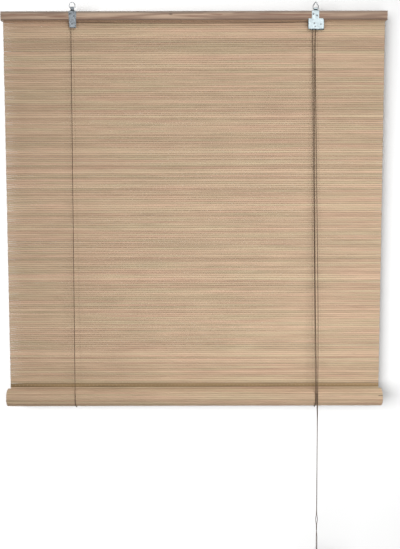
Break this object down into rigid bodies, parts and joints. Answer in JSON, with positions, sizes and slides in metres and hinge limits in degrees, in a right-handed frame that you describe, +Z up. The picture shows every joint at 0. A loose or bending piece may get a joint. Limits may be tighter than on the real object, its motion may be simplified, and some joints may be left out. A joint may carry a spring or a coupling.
{
  "type": "roll up blind",
  "caption": "Bamboo mat blind, half rolled up, under a wooden head rail with two hanging rings, lift cords, a cord lock and a tasselled pull cord.",
  "frame": {"origin": "midway between the two points where the wire rings bear on their hooks, at the top of the blind", "axes": "+X along the head rail to the viewer's right, +Z up, +Y away from the viewer to the wall or window behind the blind"},
  "size_m": [0.8, 0.0518, 1.1978],
  "materials": {
    "rail_pine": "planed pine, unfinished",
    "bamboo_mat": "split bamboo slats woven with thin thread",
    "batten_pine": "planed softwood",
    "galvanised_sheet": "bright zinc plated sheet",
    "steel_fixings": "zinc plated",
    "staple_wire": "galvanised wire",
    "ring_wire": "zinc plated wire",
    "pulley_brass": "turned brass",
    "cam_zinc": "cast zinc",
    "cord_brown": "braided brown cord",
    "tassel_wood": "turned and stained wood"
  },
  "bodies": {
    "head": {"head_rail": "rail_pine", "hanging_panel": "bamboo_mat", "mat_staples": "staple_wire", "cord_staples": "staple_wire", "rear_knots": "cord_brown", "left_hanger": "galvanised_sheet", "left_hanger_screws": "steel_fixings", "left_pulley_axle": "steel_fixings", "lock_housing": "galvanised_sheet", "lock_housing_screws": "steel_fixings", "lock_pulley_axle": "steel_fixings", "lock_anvil_pin": "steel_fixings", "lock_cam_pin": "steel_fixings", "left_cord_rear_run": "cord_brown", "left_cord_front_run": "cord_brown", "left_cord_rail_run": "cord_brown", "right_cord_rear_run": "cord_brown", "right_cord_front_run": "cord_brown", "right_cord_lock_run": "cord_brown", "pull_cord_a_upper": "cord_brown", "pull_cord_b_upper": "cord_brown"},
    "slings": {"left_cord_sling": "cord_brown", "right_cord_sling": "cord_brown"},
    "roll": {"mat_roll": "bamboo_mat", "bottom_batten": "batten_pine"},
    "pull": {"pull_cord_a_lower": "cord_brown", "pull_cord_b_lower": "cord_brown", "tassel": "tassel_wood", "tassel_knot": "cord_brown"},
    "left_wheel": {"left_pulley": "pulley_brass"},
    "lock_front_wheel": {"lock_pulley_front": "pulley_brass"},
    "lock_rear_wheel": {"lock_pulley_rear": "pulley_brass"},
    "cam": {"lock_cam": "cam_zinc"},
    "left_ring_body": {"left_ring": "ring_wire"},
    "right_ring_body": {"right_ring": "ring_wire"}
  },
  "joints": [
    {"name": "roll_lift", "type": "slide", "parent": "head", "child": "slings", "axis": [0, 0, 1], "range_m": [0, 0.68], "deforming": ["hanging_panel", "left_cord_rear_run", "right_cord_rear_run", "left_cord_front_run", "right_cord_front_run", "pull_cord_a_upper", "pull_cord_b_upper"]},
    {"name": "roll_turn", "type": "hinge", "parent": "slings", "child": "roll", "pos_m": [0, -0.0015, -0.824], "axis": [1, 0, 0], "range_deg": [-1800.5, 0]},
    {"name": "cord_pull", "type": "slide", "parent": "slings", "child": "pull", "axis": [0, 0, -1], "range_m": [0, 2.0405], "deforming": ["pull_cord_a_lower", "pull_cord_b_lower"]},
    {"name": "left_pulley_spin", "type": "hinge", "parent": "head", "child": "left_wheel", "pos_m": [-0.2516, 0, -0.0417], "axis": [0, 1, 0], "continuous": true},
    {"name": "lock_pulley_front_spin", "type": "hinge", "parent": "head", "child": "lock_front_wheel", "pos_m": [0.2491, 0, -0.0417], "axis": [0, 1, 0], "continuous": true},
    {"name": "lock_pulley_rear_spin", "type": "hinge", "parent": "head", "child": "lock_rear_wheel", "pos_m": [0.2491, 0, -0.0417], "axis": [0, 1, 0], "continuous": true},
    {"name": "lock_cam_pivot", "type": "hinge", "parent": "head", "child": "cam", "pos_m": [0.2622, 0, -0.0438], "axis": [0, -1, 0], "range_deg": [0, 45]},
    {"name": "left_ring_swing", "type": "hinge", "parent": "head", "child": "left_ring_body", "pos_m": [-0.251, 0, -0.0094], "axis": [1, 0, 0], "range_deg": [-118, 170]},
    {"name": "right_ring_swing", "type": "hinge", "parent": "head", "child": "right_ring_body", "pos_m": [0.251, 0, -0.0122], "axis": [1, 0, 0], "range_deg": [-100, 170]}
  ],
  "couplings": [
    {"joint": "roll_turn", "follows": "roll_lift", "rad_per_m": -46.2},
    {"joint": "cord_pull", "follows": "roll_lift", "ratio": 3}
  ]
}
